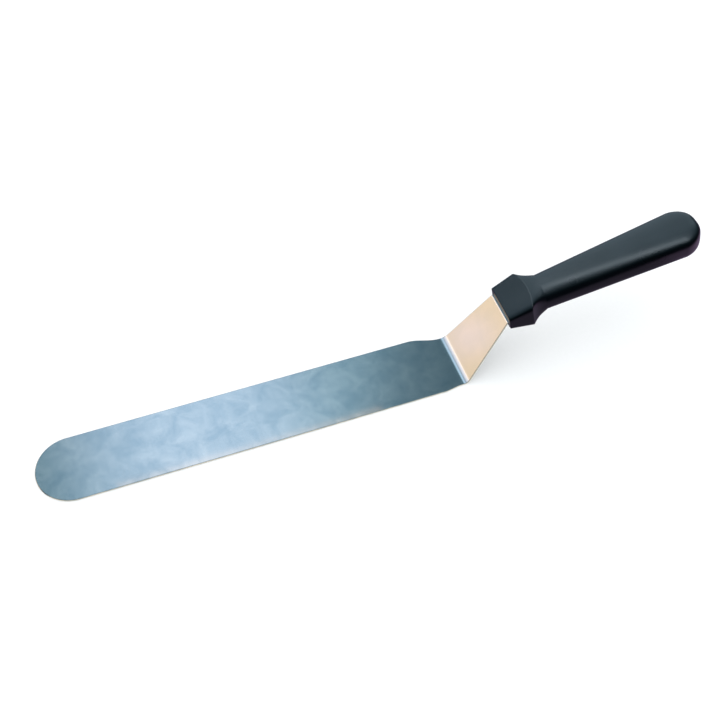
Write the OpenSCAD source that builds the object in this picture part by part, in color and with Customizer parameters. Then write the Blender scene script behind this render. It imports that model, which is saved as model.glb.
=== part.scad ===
// Cranked palette knife in millimetres: a round-ended steel blade whose neck is
// bent up twice and runs on as a keyed tang inside a moulded plastic handle.
// The blade lies flat on the XY plane, +X runs from its tip to the handle's
// butt, +Z is up, and the origin is under the middle of the knife's length.

/* [Blade] */
// Length of the flat blade, from its tip to the first bend
blade_l = 250; // [150:1:300]
// Width of the blade between its parallel edges
blade_w = 42; // [36:0.5:60]
// Thickness of the steel strip, the same from tip to tang
strip_t = 1.2; // [0.8:0.1:2]
// Length of the shoulder on the right-hand edge, seen from the handle (+Y)
right_shoulder_l = 19.5; // [6:0.5:30]
// How far that shoulder draws the edge in
right_shoulder_in = 4.2; // [1:0.1:5]
// Length of the shoulder on the left-hand edge (-Y)
left_shoulder_l = 11.5; // [6:0.5:30]
// How far that shoulder draws the edge in
left_shoulder_in = 1.4; // [1:0.1:5]

/* [Neck] */
// Angle at which the neck rises from the blade, in degrees
neck_angle = 54.2; // [35:0.1:65]
// Length of the neck, from the first bend to the second
neck_l = 43.65; // [25:0.05:60]
// Width of the neck at the second bend
neck_w = 22.5; // [18:0.5:25]
// Inside radius of the first bend
first_bend_r = 5.5; // [1:0.1:6]
// Inside radius of the second bend
second_bend_r = 1.6; // [1:0.1:4]

/* [Tang] */
// Distance from the second bend to the tang's end
tang_l = 84; // [60:1:100]
// Width of the tang inside the grip
tang_w = 12; // [8:0.5:14]
// Diameter of the two holes that the handle's plastic fills
key_hole_d = 5; // [3:0.5:7]
// Distance between those holes
key_hole_gap = 34; // [20:1:40]

/* [Handle] */
// Angle of the handle's axis above the blade, in degrees
handle_tilt = 11.8; // [0:0.1:25]
// Length of the handle along its axis
handle_l = 124.4; // [110:0.1:140]
// Distance from the second bend's corner to the handle's front face
stub_l = 0.4; // [0.4:0.1:6]
// Width of the front face
front_w = 26.2; // [25.5:0.1:28]
// Thickness of the front face
front_h = 10.2; // [8:0.1:14]
// Width of the collar at its ridge
collar_w = 29; // [27:0.1:34]
// Thickness of the collar at its ridge
collar_h = 18.4; // [16:0.1:22]
// Distance from the front face to the ends of the ridge
collar_l = 14; // [8:0.1:16]
// How far the middle of the ridge lies behind its ends
ridge_bow = 3.2; // [0:0.1:5]
// Width of the waist behind the collar
waist_w = 20; // [18:0.1:24]
// Thickness of the grip at the waist
waist_h = 17.2; // [14:0.1:20]
// Distance from the ridge's ends to the waist
scoop_l = 11; // [8:0.1:16]
// Width of the grip where its rounded butt begins
butt_w = 27.9; // [24:0.1:34]
// Thickness of the grip there
butt_h = 16.8; // [14:0.1:22]
// Length of the rounded butt
butt_l = 13.8; // [8:0.1:20]

/* [Hidden] */

steel = "#9dbbd2";
plastic = "#2f383d";

// Directions in the side view, [x, z], along and square to a slope
function along(angle) = [cos(angle), sin(angle)];
function across(angle) = [-sin(angle), cos(angle)];
function reversed(list) = [for (i = [len(list) - 1:-1:0]) list[i]];

// ---- The strip's side view: its middle line, measured from the first bend ----
bend_steps = 10;
first_mid_r = first_bend_r + strip_t / 2;
second_mid_r = second_bend_r + strip_t / 2;
second_turn = neck_angle - handle_tilt;
second_bend = neck_l * along(neck_angle);
first_centre = [-first_mid_r * tan(neck_angle / 2), first_mid_r];
second_centre = second_bend - second_mid_r * tan(second_turn / 2) * along(neck_angle)
    - second_mid_r * across(neck_angle);

// The line that runs `up` above the middle line, from tip to tang end
function strip_line(up) = concat(
    [[-blade_l, up]],
    [for (i = [0:bend_steps])
        first_centre - (first_mid_r - up) * across(neck_angle * i / bend_steps)],
    [for (i = [0:bend_steps])
        second_centre + (second_mid_r + up) * across(neck_angle - second_turn * i / bend_steps)],
    [second_bend + tang_l * along(handle_tilt) + up * across(handle_tilt)]);

// ---- The strip's outline from above, one edge at a time: side is 1 for +Y, -1 for -Y ----
tip_steps = 24;
tip_r = blade_w / 2;
shoulder_gap = 3.5;
shoulder_steps = 12;
tang_root = 8;
tang_step = 4;
tang_end_steps = 8;

function shoulder_l(side) = side > 0 ? right_shoulder_l : left_shoulder_l;
function shoulder_in(side) = side > 0 ? right_shoulder_in : left_shoulder_in;
function tang_point(distance, y) = [second_bend[0] + distance * cos(handle_tilt), y];

function edge(side) = concat(
    [for (i = [1:tip_steps])
        let (angle = 90 * i / tip_steps)
        [-blade_l + tip_r * (1 - cos(angle)), side * tip_r * sin(angle)]],
    [for (i = [0:shoulder_steps])
        let (u = i / shoulder_steps)
        [-shoulder_gap - shoulder_l(side) * (1 - u),
         side * (blade_w / 2 - shoulder_in(side) * (1 - cos(180 * u)) / 2)]],
    [[0, side * (blade_w / 2 - shoulder_in(side))],
     [second_bend[0], side * neck_w / 2],
     tang_point(tang_root, side * neck_w / 2),
     tang_point(tang_root + tang_step, side * tang_w / 2)],
    [for (i = [0:tang_end_steps - 1])
        let (angle = 90 * i / tang_end_steps)
        tang_point(tang_l - tang_w / 2 * (1 - sin(angle)), side * tang_w / 2 * cos(angle))]);

outline = concat([[-blade_l, 0]], edge(1), [tang_point(tang_l, 0)], reversed(edge(-1)));

// ---- The handle's sections: distance from its front face, half sizes, squareness ----
edge_break = 0.3;
collar_square = 8;
waist_square = 2.8;
butt_square = 4;
end_square = 3.3;
scoop_power = 2.3;
collar_steps = 4;
scoop_steps = 10;
grip_steps = 8;
cap_steps = 12;
ring_points = 48;
cap_round = 1.92;
cap_blunt = 6.3;
waist_at = collar_l + scoop_l;
cap_at = handle_l - butt_l;

// A section is [distance, half width, half thickness, squareness, bow of its middle]
function mix(a, b, u) = a + (b - a) * u;
front_section = [0, front_w / 2 - edge_break, front_h / 2 - edge_break, collar_square, 0];
edge_section = [edge_break, front_w / 2, front_h / 2, collar_square, 0];
ridge_section = [collar_l, collar_w / 2, collar_h / 2, collar_square, ridge_bow];

// The scoop falls away steeply behind the ridge and runs out level at the waist
function scoop_section(u) = [
    mix(collar_l, waist_at, u),
    mix(waist_w, collar_w, pow(1 - u, scoop_power)) / 2,
    mix(waist_h, collar_h, pow(1 - u, scoop_power)) / 2,
    mix(collar_square, waist_square, u),
    ridge_bow * (1 - u)];
function grip_section(u) = [
    mix(waist_at, cap_at, u),
    mix(waist_w, butt_w, u) / 2,
    mix(waist_h, butt_h, u) / 2,
    mix(waist_square, butt_square, u),
    0];
function cap_section(u) = [
    cap_at + butt_l * u,
    butt_w / 2 * pow(1 - pow(u, cap_round), 1 / cap_round),
    butt_h / 2 * pow(1 - pow(u, cap_blunt), 1 / cap_round),
    mix(butt_square, end_square, u),
    0];

sections = concat(
    [front_section],
    [for (i = [0:collar_steps]) mix(edge_section, ridge_section, i / collar_steps)],
    [for (i = [1:scoop_steps]) scoop_section(i / scoop_steps)],
    [for (i = [1:grip_steps]) grip_section(i / grip_steps)],
    [for (i = [1:cap_steps - 1]) cap_section(sin(90 * i / cap_steps))]);

// A point of the handle, from its place along the axis, across it and above it
function handle_point(distance, y, up) =
    let (xz = second_bend + (stub_l + distance) * along(handle_tilt) + up * across(handle_tilt))
    [xz[0], y, xz[1]];

// One rounded-square ring. The middle of a bowed section lies further back.
function ring_point(section, angle) =
    let (
        reach = pow(pow(abs(cos(angle)), section[3]) + pow(abs(sin(angle)), section[3]), -1 / section[3]),
        y = section[1] * reach * cos(angle),
        back = section[4] * (1 - pow(y / section[1], 2)))
    handle_point(section[0] + back, y, section[2] * reach * sin(angle));

handle_points = concat(
    [for (s = sections, i = [0:ring_points - 1]) ring_point(s, 360 * i / ring_points)],
    [handle_point(handle_l, 0, 0)]);

rings = len(sections);
function ring_index(ring, i) = ring * ring_points + i % ring_points;
handle_faces = concat(
    [[for (i = [0:ring_points - 1]) i]],
    [for (r = [0:rings - 2], i = [0:ring_points - 1])
        [ring_index(r, i), ring_index(r + 1, i), ring_index(r + 1, i + 1)]],
    [for (r = [0:rings - 2], i = [0:ring_points - 1])
        [ring_index(r, i), ring_index(r + 1, i + 1), ring_index(r, i + 1)]],
    [for (i = [0:ring_points - 1])
        [ring_index(rings - 1, i), rings * ring_points, ring_index(rings - 1, i + 1)]]);

// ---- Where the knife stands: centred on its whole length, underside at zero ----
butt_x = max([for (p = handle_points) p[0]]);
first_bend_x = (blade_l - butt_x) / 2;

module in_place() {
    translate([first_bend_x, 0, strip_t / 2]) children();
}

// The bent strip without its holes: side view and outline cut through each other
module strip() {
    height = 2 * (second_bend[1] + tang_l);
    intersection() {
        rotate([90, 0, 0])
            linear_extrude(height = 2 * blade_w, center = true)
                polygon(concat(strip_line(strip_t / 2), reversed(strip_line(-strip_t / 2))));
        linear_extrude(height = height, center = true)
            polygon(outline);
    }
}

// The round holes near the tang's end, square to its faces
module key_holes() {
    last_hole = tang_l - tang_w;
    for (distance = [last_hole - key_hole_gap, last_hole])
        translate([second_bend[0], 0, second_bend[1]])
            rotate([0, -handle_tilt, 0])
                translate([distance, 0, 0])
                    cylinder(d = key_hole_d, h = 4 * strip_t, center = true, $fn = 48);
}

module steel_strip() {
    difference() {
        strip();
        key_holes();
    }
}

// Blade, neck and tang: one strip of spring steel, blanked and then bent twice
module blade() {
    color(steel)
        in_place()
            steel_strip();
}

// One moulding round the tang. Its plastic also fills the tang's two holes.
module handle() {
    color(plastic)
        in_place()
            difference() {
                polyhedron(points = handle_points, faces = handle_faces, convexity = 6);
                steel_strip();
            }
}

blade();
handle();
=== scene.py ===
# A cranked palette knife: one bent strip of ground stainless steel with a keyed
# tang, and a dark polypropylene handle moulded round that tang.

import math

import bmesh
import bpy
from mathutils import Matrix, Quaternion, Vector


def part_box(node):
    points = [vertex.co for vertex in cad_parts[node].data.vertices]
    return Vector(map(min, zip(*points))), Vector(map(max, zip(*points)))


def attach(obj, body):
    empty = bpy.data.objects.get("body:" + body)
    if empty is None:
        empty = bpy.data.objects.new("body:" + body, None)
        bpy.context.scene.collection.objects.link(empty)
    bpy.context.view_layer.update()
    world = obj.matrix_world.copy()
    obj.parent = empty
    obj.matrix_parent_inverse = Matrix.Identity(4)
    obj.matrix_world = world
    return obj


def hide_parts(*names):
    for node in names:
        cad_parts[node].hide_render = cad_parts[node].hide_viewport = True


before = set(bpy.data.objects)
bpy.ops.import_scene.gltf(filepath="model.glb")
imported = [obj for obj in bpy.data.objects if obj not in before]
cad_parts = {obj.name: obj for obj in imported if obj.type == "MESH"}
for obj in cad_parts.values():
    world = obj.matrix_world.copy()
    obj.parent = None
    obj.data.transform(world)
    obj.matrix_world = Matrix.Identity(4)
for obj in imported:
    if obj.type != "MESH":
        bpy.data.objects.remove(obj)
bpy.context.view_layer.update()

# ---- Camera ----
# The photograph's view: a short telephoto about 0.7 m from the crank, in front of
# the knife, to its tip side and above it.
MM = 0.001
BLADE_LENGTH = 250 * MM
FIRST_BEND = Vector((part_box("blade")[0].x + BLADE_LENGTH, 0, 0))
CAMERA_FROM_BEND = Vector((-197.4, -383.1, 548.6)) * MM
VIEW_AZIMUTH = math.radians(-19.7)
VIEW_ELEVATION = math.radians(52.14)
LENS_IN_MM = 58.4
SENSOR_IN_MM = 36

bpy.ops.object.select_all(action="DESELECT")
bpy.ops.object.camera_add(
    location=FIRST_BEND + CAMERA_FROM_BEND,
    rotation=(math.pi / 2 - VIEW_ELEVATION, 0, VIEW_AZIMUTH),
)
camera = bpy.context.object
camera.name = "camera"
camera.data.sensor_width = SENSOR_IN_MM
camera.data.lens = LENS_IN_MM
bpy.context.scene.camera = camera

# ---- Blade, neck and tang ----
# One strip of 1.2 mm stainless spring steel, blanked with a full-round tip, ground
# satin, then bent up at the heel and back at the handle. The narrow tang behind the
# second bend has two holes, which the handle's plastic fills.
STRIP_THICKNESS = 1.2 * MM
TIP_RADIUS = 21 * MM
TIP_POINTS = 128
SHOULDER_GAP = 3.5 * MM
RIGHT_SHOULDER = {"length": 19.5 * MM, "depth": 4.2 * MM}
LEFT_SHOULDER = {"length": 11.5 * MM, "depth": 1.4 * MM}
# The heel is shaped at every millimetre between these distances before the first bend
HEEL_START_IN_MM = 23
HEEL_END_IN_MM = 4
NECK_ANGLE = math.radians(54.2)
NECK_LENGTH = 43.65 * MM
NECK_HALF_WIDTH = 11.25 * MM
# Radii of the strip's middle line; the inside of each bend is 0.6 mm less
FIRST_BEND_RADIUS = 6.1 * MM
SECOND_BEND_RADIUS = 2.2 * MM
BEND_STEPS = 10
HANDLE_TILT = math.radians(11.8)
TANG_ROOT = 8 * MM
TANG_STEP = 4 * MM
TANG_LENGTH = 84 * MM
TANG_HALF_WIDTH = 6 * MM
TANG_END_STEPS = 8
KEY_HOLE_RADIUS = 2.5 * MM
KEY_HOLES_AT = (38 * MM, 72 * MM)
KEY_HOLE_POINTS = 48
EDGE_ROUNDING = 0.25 * MM
ROUNDING_STEPS = 3
SHARP_ANGLE = math.radians(40)
BROAD_FACE_WEIGHT = 80
CLOSE = 0.01 * MM


def along(angle):
    """A direction in the side view that slopes up by this angle."""
    return Vector((math.cos(angle), 0, math.sin(angle)))


def across(angle):
    """The direction square to that slope, pointing up."""
    return Vector((-math.sin(angle), 0, math.cos(angle)))


MIDDLE_OF_STRIP = FIRST_BEND + Vector((0, 0, STRIP_THICKNESS / 2))
SECOND_BEND = MIDDLE_OF_STRIP + NECK_LENGTH * along(NECK_ANGLE)


def drawn_in(x, shoulder):
    """How far a shoulder has drawn the blade's edge in at this distance from the bend."""
    part = (x + SHOULDER_GAP + shoulder["length"]) / shoulder["length"]
    part = min(1, max(0, part))
    return shoulder["depth"] * (1 - math.cos(math.pi * part)) / 2


def half_width(place, shoulder):
    """Half the strip's width on the side of this shoulder, at a place on its middle line."""
    x = place.x - FIRST_BEND.x
    neck_run = SECOND_BEND.x - FIRST_BEND.x
    root = neck_run + TANG_ROOT * math.cos(HANDLE_TILT)
    if x <= 0:
        return TIP_RADIUS - drawn_in(x, shoulder)
    if x <= neck_run:
        heel = TIP_RADIUS - shoulder["depth"]
        return heel + (NECK_HALF_WIDTH - heel) * x / neck_run
    if x <= root + CLOSE:
        return NECK_HALF_WIDTH
    return TANG_HALF_WIDTH


def middle_line():
    """The strip's middle line behind the round tip: places from the heel to the tang's root."""
    before_bend = range(HEEL_START_IN_MM, HEEL_END_IN_MM - 1, -1)
    places = [MIDDLE_OF_STRIP - Vector((x * MM, 0, 0)) for x in before_bend]
    radius = FIRST_BEND_RADIUS
    centre = MIDDLE_OF_STRIP - radius * math.tan(NECK_ANGLE / 2) * along(0) + radius * across(0)
    for i in range(BEND_STEPS + 1):
        places.append(centre - radius * across(NECK_ANGLE * i / BEND_STEPS))
    radius = SECOND_BEND_RADIUS
    second_turn = NECK_ANGLE - HANDLE_TILT
    second_start = SECOND_BEND - radius * math.tan(second_turn / 2) * along(NECK_ANGLE)
    centre = second_start - radius * across(NECK_ANGLE)
    for i in range(BEND_STEPS + 1):
        places.append(centre + radius * across(NECK_ANGLE - second_turn * i / BEND_STEPS))
    places.append(SECOND_BEND + TANG_ROOT * along(HANDLE_TILT))
    places.append(SECOND_BEND + (TANG_ROOT + TANG_STEP) * along(HANDLE_TILT))
    return places


def select_where(piece, test):
    """In edit mode, selects just the vertices whose place passes the test."""
    bpy.ops.mesh.select_all(action="DESELECT")
    bpy.ops.mesh.select_mode(type="VERT")
    mesh = bmesh.from_edit_mesh(piece.data)
    for vertex in mesh.verts:
        vertex.select_set(test(vertex.co))
    mesh.select_flush_mode()
    bmesh.update_edit_mesh(piece.data)


def extrude_end(piece, step, right, left):
    """Draws the strip's selected end edge on by a step and sets its two half widths."""
    bpy.ops.mesh.extrude_region_move(TRANSFORM_OT_translate={"value": step})
    mesh = bmesh.from_edit_mesh(piece.data)
    for vertex in mesh.verts:
        if vertex.select:
            vertex.co.y = right if vertex.co.y > 0 else -left
    bmesh.update_edit_mesh(piece.data)


def only(piece):
    """Selects this object alone and makes it the active one."""
    bpy.ops.object.select_all(action="DESELECT")
    piece.select_set(True)
    bpy.context.view_layer.objects.active = piece


def add_modifier(piece, kind, **settings):
    """Adds a modifier with these settings and applies it."""
    only(piece)
    modifier = piece.modifiers.new(kind.lower(), kind)
    for name, value in settings.items():
        setattr(modifier, name, value)
    bpy.ops.object.modifier_apply(modifier=modifier.name)


def cut_away(piece, cutter):
    """Cuts the cutter's shape out of a piece, then removes the cutter."""
    add_modifier(piece, "BOOLEAN", operation="DIFFERENCE", solver="EXACT", object=cutter)
    bpy.data.objects.remove(cutter)


def shade_smooth(piece):
    """Shades a piece smooth between its edges, with the broad faces left true."""
    only(piece)
    bpy.ops.object.shade_smooth_by_angle(angle=SHARP_ANGLE)
    add_modifier(
        piece, "WEIGHTED_NORMAL", mode="FACE_AREA", weight=BROAD_FACE_WEIGHT, keep_sharp=True
    )


# The round tip is half a disc, and the rest of the strip is drawn out from its flat side
tip_centre = MIDDLE_OF_STRIP - Vector((BLADE_LENGTH - TIP_RADIUS, 0, 0))
bpy.ops.object.select_all(action="DESELECT")
bpy.ops.mesh.primitive_circle_add(
    vertices=TIP_POINTS,
    radius=TIP_RADIUS,
    fill_type="NGON",
    location=tip_centre,
)
blade = bpy.context.object
blade.name = "ground_blade"
bpy.ops.object.transform_apply(location=True, rotation=True, scale=True)
bpy.ops.object.mode_set(mode="EDIT")
bpy.ops.mesh.select_all(action="SELECT")
bpy.ops.mesh.bisect(plane_co=tip_centre, plane_no=(1, 0, 0), clear_outer=True)
select_where(blade, lambda place: place.x > tip_centre.x - CLOSE)
end = tip_centre
for place in middle_line():
    right = half_width(place, RIGHT_SHOULDER)
    left = half_width(place, LEFT_SHOULDER)
    extrude_end(blade, place - end, right, left)
    end = place
for i in range(TANG_END_STEPS):
    angle = math.pi / 2 * i / TANG_END_STEPS
    reach = TANG_LENGTH - TANG_HALF_WIDTH * (1 - math.sin(angle))
    place = SECOND_BEND + reach * along(HANDLE_TILT)
    round_width = TANG_HALF_WIDTH * math.cos(angle)
    extrude_end(blade, place - end, round_width, round_width)
    end = place
bpy.ops.object.mode_set(mode="OBJECT")
add_modifier(blade, "SOLIDIFY", thickness=STRIP_THICKNESS, offset=0, use_even_offset=True)

for distance in KEY_HOLES_AT:
    bpy.ops.mesh.primitive_cylinder_add(
        vertices=KEY_HOLE_POINTS,
        radius=KEY_HOLE_RADIUS,
        depth=4 * STRIP_THICKNESS,
        location=SECOND_BEND + distance * along(HANDLE_TILT),
        rotation=(0, -HANDLE_TILT, 0),
    )
    cut_away(blade, bpy.context.object)

# A copy of the strip, for the slot that its tang leaves in the handle
only(blade)
bpy.ops.object.duplicate()
tang_form = bpy.context.object

add_modifier(
    blade,
    "BEVEL",
    width=EDGE_ROUNDING,
    segments=ROUNDING_STEPS,
    limit_method="ANGLE",
    angle_limit=SHARP_ANGLE,
)
shade_smooth(blade)


def linear(hex_colour):
    """An sRGB hex colour as the linear colour that Blender takes."""
    parts = [int(hex_colour[i : i + 2], 16) / 255 for i in (1, 3, 5)]
    return (*[p / 12.92 if p <= 0.04045 else ((p + 0.055) / 1.055) ** 2.4 for p in parts], 1)


def add_node(tree, kind, inputs=None, **settings):
    """Adds a node with its settings; an input is a value or the socket that feeds it."""
    node = tree.nodes.new(kind)
    for name, value in settings.items():
        setattr(node, name, value)
    for name, value in (inputs or {}).items():
        if isinstance(value, bpy.types.NodeSocket):
            tree.links.new(value, node.inputs[name])
        else:
            node.inputs[name].default_value = value
    return node


# A Mix node's sockets share their names, so they go by number
FACTOR, VALUE_A, VALUE_B, COLOUR_A, COLOUR_B = 0, 2, 3, 6, 7
MIXED_VALUE, MIXED_COLOUR = 0, 2
# Nearly all of a noise pattern lies between these values
NOISE_LOW, NOISE_HIGH = 0.3, 0.7

# Ground stainless steel: a satin metal that takes the tint of what it faces. Buffing
# leaves soft paler clouds about 12 mm across, and the grinding leaves fine lines
# across the strip. Real lines are 0.1 mm apart, drawn here at 0.9 mm. The neck was
# bent after the buffing and has hardly any clouds.
CLOUD_SIZE = 12 * MM
NECK_CLOUDINESS = 0.55
NECK_EVENNESS = 0.8
LINE_SPACING = 0.9 * MM
LINE_LENGTH = 30 * MM
LINE_DEPTH = 0.01 * MM
steel = bpy.data.materials.new("ground_stainless_steel")
steel.use_nodes = True
tree = steel.node_tree
position = add_node(tree, "ShaderNodeTexCoord").outputs["Object"]
clouds = add_node(
    tree,
    "ShaderNodeTexNoise",
    {"Vector": position, "Scale": 1 / CLOUD_SIZE, "Detail": 3, "Roughness": 0.6, "Distortion": 0.5},
)
stretched = add_node(
    tree,
    "ShaderNodeMapping",
    {"Vector": position, "Scale": (1 / LINE_SPACING, 1 / LINE_LENGTH, 1 / LINE_SPACING)},
)
lines = add_node(
    tree,
    "ShaderNodeTexNoise",
    {"Vector": stretched.outputs["Vector"], "Scale": 1, "Detail": 3, "Roughness": 0.6},
)
cloud_part = add_node(
    tree,
    "ShaderNodeMapRange",
    {"Value": clouds.outputs["Fac"], "From Min": NOISE_LOW, "From Max": NOISE_HIGH},
)
along_strip = add_node(tree, "ShaderNodeSeparateXYZ", {"Vector": position})
on_neck = add_node(
    tree,
    "ShaderNodeMapRange",
    {
        "Value": along_strip.outputs["X"],
        "From Min": FIRST_BEND.x - CLOUD_SIZE,
        "From Max": FIRST_BEND.x,
        "To Max": NECK_EVENNESS,
    },
)
cloudiness = add_node(
    tree,
    "ShaderNodeMix",
    {
        FACTOR: on_neck.outputs["Result"],
        VALUE_A: cloud_part.outputs["Result"],
        VALUE_B: NECK_CLOUDINESS,
    },
)
tint = add_node(
    tree,
    "ShaderNodeMix",
    {
        FACTOR: cloudiness.outputs[MIXED_VALUE],
        COLOUR_A: linear("#bac9d3"),
        COLOUR_B: linear("#dde2e6"),
    },
    data_type="RGBA",
)
roughness = add_node(
    tree,
    "ShaderNodeMapRange",
    {
        "Value": lines.outputs["Fac"],
        "From Min": NOISE_LOW,
        "From Max": NOISE_HIGH,
        "To Min": 0.21,
        "To Max": 0.23,
    },
)
relief = add_node(
    tree,
    "ShaderNodeBump",
    {"Height": lines.outputs["Fac"], "Strength": 0.05, "Distance": LINE_DEPTH},
)
shader = tree.nodes["Principled BSDF"]
shader.inputs["Metallic"].default_value = 1
tree.links.new(tint.outputs[MIXED_COLOUR], shader.inputs["Base Color"])
tree.links.new(roughness.outputs["Result"], shader.inputs["Roughness"])
tree.links.new(relief.outputs["Normal"], shader.inputs["Normal"])
blade.data.materials.clear()
blade.data.materials.append(steel)

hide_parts("blade")
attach(blade, "root")

# ---- Handle ----
# One injection moulding in dark polypropylene. A flat-faced collar swells to a bowed
# ridge, a scoop behind it leads into the waist, and the grip widens to a round butt.
# Its sections are squares with rounded corners, rounder at the waist than at its ends.
HANDLE_LENGTH = 124.4 * MM
STUB = 0.4 * MM
FRONT = {"width": 26.2 * MM, "thickness": 10.2 * MM}
COLLAR = {"width": 29 * MM, "thickness": 18.4 * MM}
WAIST = {"width": 20 * MM, "thickness": 17.2 * MM}
BUTT = {"width": 27.9 * MM, "thickness": 16.8 * MM}
COLLAR_LENGTH = 14 * MM
SCOOP_LENGTH = 11 * MM
BUTT_LENGTH = 13.8 * MM
RIDGE_BOW = 3.2 * MM
SCOOP_STEEPNESS = 2.3
# Powers of the rounded squares: 2 is an ellipse, and a high one has tight corners
COLLAR_SQUARENESS = 8
WAIST_SQUARENESS = 2.8
BUTT_SQUARENESS = 4
END_SQUARENESS = 3.3
# Powers of the butt's outline, seen from above and from the side
BUTT_ROUND = 1.92
BUTT_BLUNT = 6.3
COLLAR_STEPS = 4
SCOOP_STEPS = 12
GRIP_STEPS = 10
BUTT_STEPS = 18
CORNER_STEPS = 24
# On a ring one unit wide, corner points that lie closer than this are one point
CORNERS_MEET = 0.0001
FRONT_ROUNDING = 0.45 * MM
RIDGE_ROUNDING = 0.35 * MM

handle_front = SECOND_BEND + STUB * along(HANDLE_TILT)
# Turns a flat ring to face along the handle, its width across the knife
section_turn = Matrix(
    (
        (0, -math.sin(HANDLE_TILT), math.cos(HANDLE_TILT)),
        (1, 0, 0),
        (0, math.cos(HANDLE_TILT), math.sin(HANDLE_TILT)),
    )
).to_euler()


def mix(a, b, part):
    """The value that lies this part of the way from one value to another."""
    return a + (b - a) * part


def blend_size(a, b, part):
    """The width and thickness between two sections."""
    return mix(a["width"], b["width"], part), mix(a["thickness"], b["thickness"], part)


def add_section(distance, width, thickness, squareness, bow=0.0):
    """One ring round the handle's axis: a square whose bevelled corners meet."""
    bpy.ops.mesh.primitive_plane_add(size=1)
    ring = bpy.context.object
    bpy.ops.object.mode_set(mode="EDIT")
    bpy.ops.mesh.select_all(action="SELECT")
    corner_shape = 0.5 ** (2 / squareness)
    bpy.ops.mesh.bevel(offset=0.5, segments=CORNER_STEPS, profile=corner_shape, affect="VERTICES")
    bpy.ops.mesh.select_all(action="SELECT")
    bpy.ops.mesh.remove_doubles(threshold=CORNERS_MEET)
    bpy.ops.mesh.delete(type="ONLY_FACE")
    mesh = bmesh.from_edit_mesh(ring.data)
    for vertex in mesh.verts:
        vertex.co.z = bow * (1 - (2 * vertex.co.x) ** 2)
    bmesh.update_edit_mesh(ring.data)
    bpy.ops.object.mode_set(mode="OBJECT")
    ring.scale = (width, thickness, 1)
    ring.rotation_euler = section_turn
    ring.location = handle_front + distance * along(HANDLE_TILT)
    return ring


waist_at = COLLAR_LENGTH + SCOOP_LENGTH
butt_at = HANDLE_LENGTH - BUTT_LENGTH
rings = []
for i in range(COLLAR_STEPS + 1):
    part = i / COLLAR_STEPS
    size = blend_size(FRONT, COLLAR, part)
    rings.append(add_section(COLLAR_LENGTH * part, *size, COLLAR_SQUARENESS, RIDGE_BOW * part))
for i in range(1, SCOOP_STEPS + 1):
    part = i / SCOOP_STEPS
    size = blend_size(WAIST, COLLAR, (1 - part) ** SCOOP_STEEPNESS)
    squareness = mix(COLLAR_SQUARENESS, WAIST_SQUARENESS, part)
    distance = COLLAR_LENGTH + SCOOP_LENGTH * part
    rings.append(add_section(distance, *size, squareness, RIDGE_BOW * (1 - part)))
for i in range(1, GRIP_STEPS + 1):
    part = i / GRIP_STEPS
    size = blend_size(WAIST, BUTT, part)
    squareness = mix(WAIST_SQUARENESS, BUTT_SQUARENESS, part)
    rings.append(add_section(mix(waist_at, butt_at, part), *size, squareness))
for i in range(1, BUTT_STEPS):
    part = math.sin(math.pi / 2 * i / BUTT_STEPS)
    width = BUTT["width"] * (1 - part**BUTT_ROUND) ** (1 / BUTT_ROUND)
    thickness = BUTT["thickness"] * (1 - part**BUTT_BLUNT) ** (1 / BUTT_ROUND)
    squareness = mix(BUTT_SQUARENESS, END_SQUARENESS, part)
    last_ring = butt_at + BUTT_LENGTH * part
    rings.append(add_section(last_ring, width, thickness, squareness))

bpy.ops.object.select_all(action="DESELECT")
for ring in rings:
    ring.select_set(True)
handle = rings[0]
bpy.context.view_layer.objects.active = handle
bpy.ops.object.join()
handle.name = "moulded_handle"
bpy.ops.object.transform_apply(location=True, rotation=True, scale=True)


def behind_front(place):
    """How far back along the handle's axis a place is from the front face."""
    return (place - handle_front).dot(along(HANDLE_TILT))


def on_ridge(place):
    """Whether a place lies on the collar's bowed ridge."""
    across_collar = 2 * place.y / COLLAR["width"]
    ridge = COLLAR_LENGTH + RIDGE_BOW * (1 - across_collar**2)
    return abs(behind_front(place) - ridge) < CLOSE


bpy.ops.object.mode_set(mode="EDIT")
bpy.ops.mesh.select_all(action="SELECT")
bpy.ops.mesh.bridge_edge_loops()
select_where(handle, lambda place: behind_front(place) > last_ring - CLOSE)
bpy.ops.mesh.extrude_region_move(
    TRANSFORM_OT_translate={"value": (HANDLE_LENGTH - last_ring) * along(HANDLE_TILT)}
)
bpy.ops.mesh.merge(type="CENTER")
select_where(handle, lambda place: behind_front(place) < CLOSE)
bpy.ops.mesh.edge_face_add()
bpy.ops.mesh.bevel(offset=FRONT_ROUNDING, segments=ROUNDING_STEPS, affect="EDGES")
select_where(handle, on_ridge)
bpy.ops.mesh.bevel(offset=RIDGE_ROUNDING, segments=ROUNDING_STEPS, affect="EDGES")
bpy.ops.mesh.select_all(action="SELECT")
bpy.ops.mesh.normals_make_consistent(inside=False)
bpy.ops.object.mode_set(mode="OBJECT")
cut_away(handle, tang_form)
shade_smooth(handle)

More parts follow.
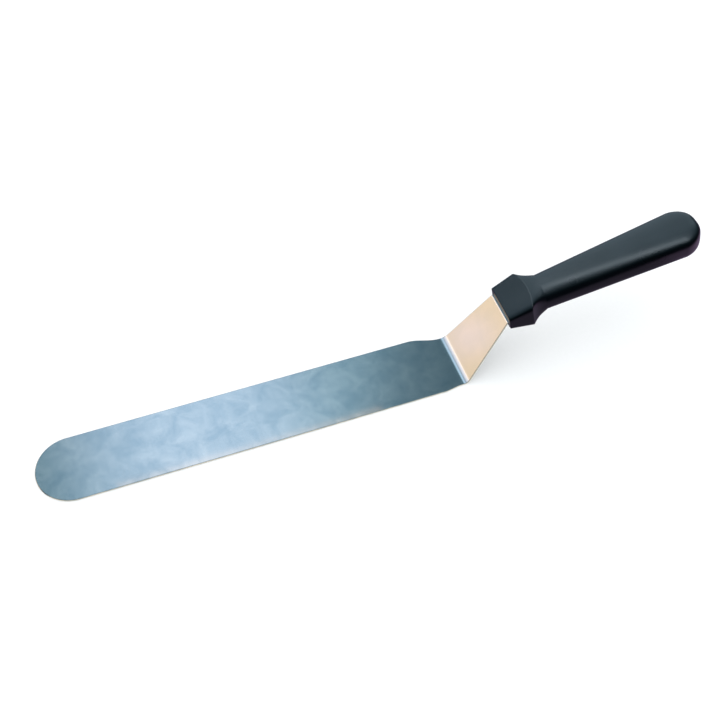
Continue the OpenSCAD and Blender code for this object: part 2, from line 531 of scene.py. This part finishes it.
# Moulded polypropylene, blue-black: a soft satin skin, a little waxy. The mould was
# spark-eroded, which leaves a fine matt grain. Real grain is 0.2 mm, drawn at 0.8 mm.
# The colour and the gloss drift a little over about 22 mm, as the melt flowed.
GRAIN_SIZE = 0.8 * MM
GRAIN_DEPTH = 0.04 * MM
FLOW_SIZE = 22 * MM
FLOW_LOW, FLOW_HIGH = 0.2, 0.8
plastic = bpy.data.materials.new("moulded_polypropylene")
plastic.use_nodes = True
tree = plastic.node_tree
position = add_node(tree, "ShaderNodeTexCoord").outputs["Object"]
grain = add_node(
    tree,
    "ShaderNodeTexNoise",
    {"Vector": position, "Scale": 1 / GRAIN_SIZE, "Detail": 2, "Roughness": 0.5},
)
flow = add_node(
    tree,
    "ShaderNodeTexNoise",
    {"Vector": position, "Scale": 1 / FLOW_SIZE, "Detail": 0},
)
tint = add_node(
    tree,
    "ShaderNodeMix",
    {FACTOR: flow.outputs["Fac"], COLOUR_A: linear("#222c32"), COLOUR_B: linear("#2a353d")},
    data_type="RGBA",
)
roughness = add_node(
    tree,
    "ShaderNodeMapRange",
    {
        "Value": flow.outputs["Fac"],
        "From Min": FLOW_LOW,
        "From Max": FLOW_HIGH,
        "To Min": 0.26,
        "To Max": 0.33,
    },
)
relief = add_node(
    tree,
    "ShaderNodeBump",
    {"Height": grain.outputs["Fac"], "Strength": 0.25, "Distance": GRAIN_DEPTH},
)
shader = tree.nodes["Principled BSDF"]
shader.inputs["IOR"].default_value = 1.49
tree.links.new(tint.outputs[MIXED_COLOUR], shader.inputs["Base Color"])
tree.links.new(roughness.outputs["Result"], shader.inputs["Roughness"])
tree.links.new(relief.outputs["Normal"], shader.inputs["Normal"])
handle.data.materials.clear()
handle.data.materials.append(plastic)

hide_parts("handle")
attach(handle, "root")

# ---- Floor ----
# Matt white paper, rolled out far past the knife: almost no gloss, and a fibre too
# faint to see from here. The knife doesn't mirror it and gets no light from it.
FLOOR_SIZE = 16
FIBRE_SIZE = 2 * MM
bpy.ops.object.select_all(action="DESELECT")
bpy.ops.mesh.primitive_plane_add(size=FLOOR_SIZE)
floor = bpy.context.object
floor.name = "studio_floor"
paper = bpy.data.materials.new("matt_white_paper")
paper.use_nodes = True
tree = paper.node_tree
position = add_node(tree, "ShaderNodeTexCoord").outputs["Object"]
fibre = add_node(
    tree,
    "ShaderNodeTexNoise",
    {"Vector": position, "Scale": 1 / FIBRE_SIZE, "Detail": 2},
)
tint = add_node(
    tree,
    "ShaderNodeMix",
    {FACTOR: fibre.outputs["Fac"], COLOUR_A: linear("#f4f4f4"), COLOUR_B: linear("#f8f8f8")},
    data_type="RGBA",
)
shader = tree.nodes["Principled BSDF"]
shader.inputs["Roughness"].default_value = 0.9
shader.inputs["Specular IOR Level"].default_value = 0.1
tree.links.new(tint.outputs[MIXED_COLOUR], shader.inputs["Base Color"])
floor.data.materials.append(paper)
floor.visible_glossy = False
floor.visible_diffuse = False
floor.visible_shadow = False

# ---- Studio ----
# Soft light from all round. Steel is seen by what it mirrors, so each of its faces has
# softboxes where it looks, and the handle has others. Every light falls on one piece
# alone, and the softboxes show in reflections only.

# Spread of a softbox in degrees: to all sides, or kept to a beam
ALL_SIDES = 180
BEAM = 60


def lit_alone(piece):
    """A group that holds one piece, for the lights that are set up for it alone."""
    group = bpy.data.collections.new(piece.name + "_light")
    group.objects.link(piece)
    return group


def add_softbox(
    name, group, target, direction, distance, size, colour, radiance, spread=ALL_SIDES, turn=0
):
    """A softbox that one piece mirrors, facing the target from this direction."""
    direction = Vector(direction).normalized()
    own_turn = Quaternion((0, 0, 1), math.radians(turn))
    bpy.ops.object.light_add(
        type="AREA",
        location=target + distance * direction,
        rotation=(direction.to_track_quat("Z", "Y") @ own_turn).to_euler(),
    )
    light = bpy.context.object
    light.name = name
    light.data.shape = "RECTANGLE"
    light.data.size, light.data.size_y = size
    light.data.color = linear(colour)[:3]
    light.data.energy = radiance * math.pi * size[0] * size[1]
    light.visible_camera = False
    light.visible_diffuse = False
    light.data.spread = math.radians(spread)
    light.light_linking.receiver_collection = group


def add_daylight(name, group, direction, spread, strength, shadow=True):
    """Soft daylight on one piece, from this direction, that shows in no reflection."""
    rotation = Vector(direction).to_track_quat("Z", "Y").to_euler()
    bpy.ops.object.light_add(type="SUN", rotation=rotation)
    light = bpy.context.object
    light.name = name
    light.data.angle = math.radians(spread)
    light.data.energy = strength
    light.data.use_shadow = shadow
    light.visible_glossy = False
    light.light_linking.receiver_collection = group


steel_group = lit_alone(blade)
plastic_group = lit_alone(handle)
paper_group = lit_alone(floor)
blade_middle = FIRST_BEND - Vector((BLADE_LENGTH / 2, 0, 0))
neck_middle = MIDDLE_OF_STRIP + NECK_LENGTH / 2 * along(NECK_ANGLE)
handle_middle = handle_front + HANDLE_LENGTH / 2 * along(HANDLE_TILT)

# The flat blade mirrors the cool panes of a window behind it, each given by the x of
# its direction, its width, colour and radiance
for name, x, width, colour, radiance in (
    ("window", 0.024, 0.36, "#d8ebff", 0.93),
    ("window_middle", 0.03, 0.12, "#fff0e4", 0.13),
    ("window_side", 0.2265, 0.115, "#c6eefa", 0.55),
    ("window_end", -0.183, 0.1, "#a8e0e6", 0.3),
):
    add_softbox(name, steel_group, blade_middle, (x, 0.56, 0.83), 1.2, (width, 0.9), colour, radiance)

# The neck mirrors a warm wall with a paler patch on it, and the first bend a narrow beam
add_softbox("warm_wall", steel_group, neck_middle, (-0.83, 0.56, -0.1), 1.0, (0.9, 1.3), "#ffdcb4", 1.3)
add_softbox(
    "pale_patch",
    steel_group,
    neck_middle,
    direction=(-0.83, 0.56, 0.02),
    distance=0.15,
    size=(0.025, 0.03),
    colour="#6f93ff",
    radiance=0.035,
    spread=BEAM,
)
add_softbox(
    "bend_light",
    steel_group,
    FIRST_BEND,
    direction=(-0.59, 0.553, 0.588),
    distance=0.1,
    size=(0.08, 0.09),
    colour="#fff4f8",
    radiance=0.13,
    spread=BEAM,
    turn=-60,
)

# The handle's front face and collar mirror a pale wall past the tip
add_softbox(
    "end_wall",
    plastic_group,
    handle_front,
    direction=(-0.495, 0.549, 0.671),
    distance=2.0,
    size=(1.2, 1.2),
    colour="#dcecf8",
    radiance=0.5,
    turn=-53,
)

# The strip's near edge and its underside mirror the bright bench below. Along the
# blade's middle the edge also has a warm gleam, which fades out towards both ends.
under_blade = blade_middle + Vector((0, -0.1, 0))
for length, radiance in ((0.5, 1.0), (0.26, 0.7)):
    add_softbox("bench", steel_group, under_blade, (0, 0, -1), 0.05, (length, 0.2), "#fff2dc", radiance)
near_edge = FIRST_BEND + Vector((-0.129, -0.0222, STRIP_THICKNESS))
for length in (0.07, 0.1, 0.13, 0.16):
    add_softbox(
        "edge_gleam",
        steel_group,
        near_edge,
        direction=(0, 0.573, 0.82),
        distance=0.024,
        size=(length, 0.005),
        colour="#ffc080",
        radiance=0.34,
    )
add_softbox("bench_under_neck", steel_group, neck_middle, (0, 0, -1), 0.08, (0.14, 0.08), "#f6f2ea", 0.6)

# Seen from behind, the steel mirrors three pale walls to the right and in front of it
for name, direction in (
    ("right_wall", (1, 0, 0.36)),
    ("corner_wall", (0.7, -0.7, 0.36)),
    ("front_wall", (0, -1, 0.36)),
):
    add_softbox(name, steel_group, blade_middle, direction, 2.5, (2.07, 2.3), "#dfe8ee", 0.5)

# The grip mirrors a pale wall behind it, a strip of skylight and the dim floor below
add_softbox("back_wall", plastic_group, handle_middle, (0.35, 0.8, 0.5), 1.2, (1.3, 1.2), "#d8edf8", 1.05)
strip_middle = handle_middle + Vector((0.095, 0.02, 0))
add_softbox("skylight", plastic_group, strip_middle, (0, 0, 1), 1.0, (1.4, 0.2), "#e4f2fb", 5.2, turn=-68)
shade_middle = handle_middle + Vector((0, 0.34, -0.05))
add_softbox("shade", plastic_group, shade_middle, (0, 0, -1), 0.06, (1.6, 0.94), "#6e6478", 1.45)
butt_front = handle_front + HANDLE_LENGTH * along(HANDLE_TILT) + Vector((0.13, 0, 0))
add_softbox("butt_shade", plastic_group, butt_front, (0, 0, -1), 0.1, (0.2, 0.3), "#9c7ca2", 0.85)

# Daylight gives the plastic its colour and the floor its white. The floor's fill casts
# no shadow, which keeps the knife's own shadow faint.
add_daylight("handle_daylight", plastic_group, (-0.15, 0.75, 0.65), 30, 3.6)
add_daylight("floor_daylight", paper_group, (0, 0.1, 1), 170, 1.5)
add_daylight("floor_fill", paper_group, (0, 0.1, 1), 170, 2.4, shadow=False)

# Behind all that the room is dark below and a dim blue-grey above. Where the floor
# ends the camera sees the same white as the floor.
world = bpy.data.worlds.new("studio")
bpy.context.scene.world = world
world.use_nodes = True
tree = world.node_tree
height = add_node(
    tree,
    "ShaderNodeSeparateXYZ",
    {"Vector": add_node(tree, "ShaderNodeTexCoord").outputs["Generated"]},
)
rise = add_node(
    tree,
    "ShaderNodeMapRange",
    {"Value": height.outputs["Z"], "From Min": 0.3, "From Max": 0.75},
    interpolation_type="SMOOTHSTEP",
)
room = add_node(
    tree,
    "ShaderNodeMix",
    {FACTOR: rise.outputs["Result"], COLOUR_A: linear("#141318"), COLOUR_B: linear("#4f6871")},
    data_type="RGBA",
)
seen = add_node(tree, "ShaderNodeLightPath").outputs["Is Camera Ray"]
surroundings = add_node(
    tree,
    "ShaderNodeMix",
    {FACTOR: seen, COLOUR_A: room.outputs[MIXED_COLOUR], COLOUR_B: linear("#fdfdfd")},
    data_type="RGBA",
)
tree.links.new(surroundings.outputs[MIXED_COLOUR], tree.nodes["Background"].inputs["Color"])
bpy.context.scene.view_settings.view_transform = "Standard"
